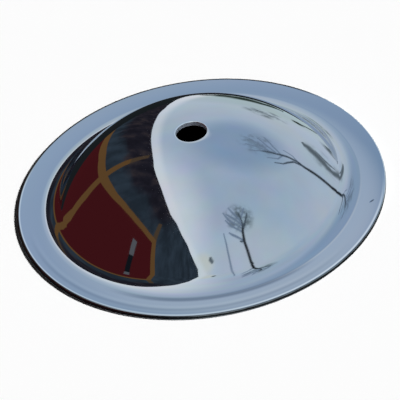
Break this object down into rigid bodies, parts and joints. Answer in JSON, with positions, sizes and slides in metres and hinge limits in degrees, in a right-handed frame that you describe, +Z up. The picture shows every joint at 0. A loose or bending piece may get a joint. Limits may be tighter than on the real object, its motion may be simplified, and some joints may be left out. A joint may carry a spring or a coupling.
{
  "type": "bell cymbal",
  "caption": "Bell cymbal: a round polished metal dome on a narrow flat rim, with a central stand hole, open underneath.",
  "frame": {"origin": "centre of the flange's flat underside, the face the cymbal rests on", "axes": "+Z up along the axis of the dome and the hole, from the open underside to the crown"},
  "size_m": [0.1524, 0.1524, 0.0343],
  "materials": {
    "plated_bell_metal": "mirror polished and plated bright, with faint polishing lines round the axis"
  },
  "bodies": {
    "root": {"bell_cymbal": "plated_bell_metal"}
  },
  "joints": []
}
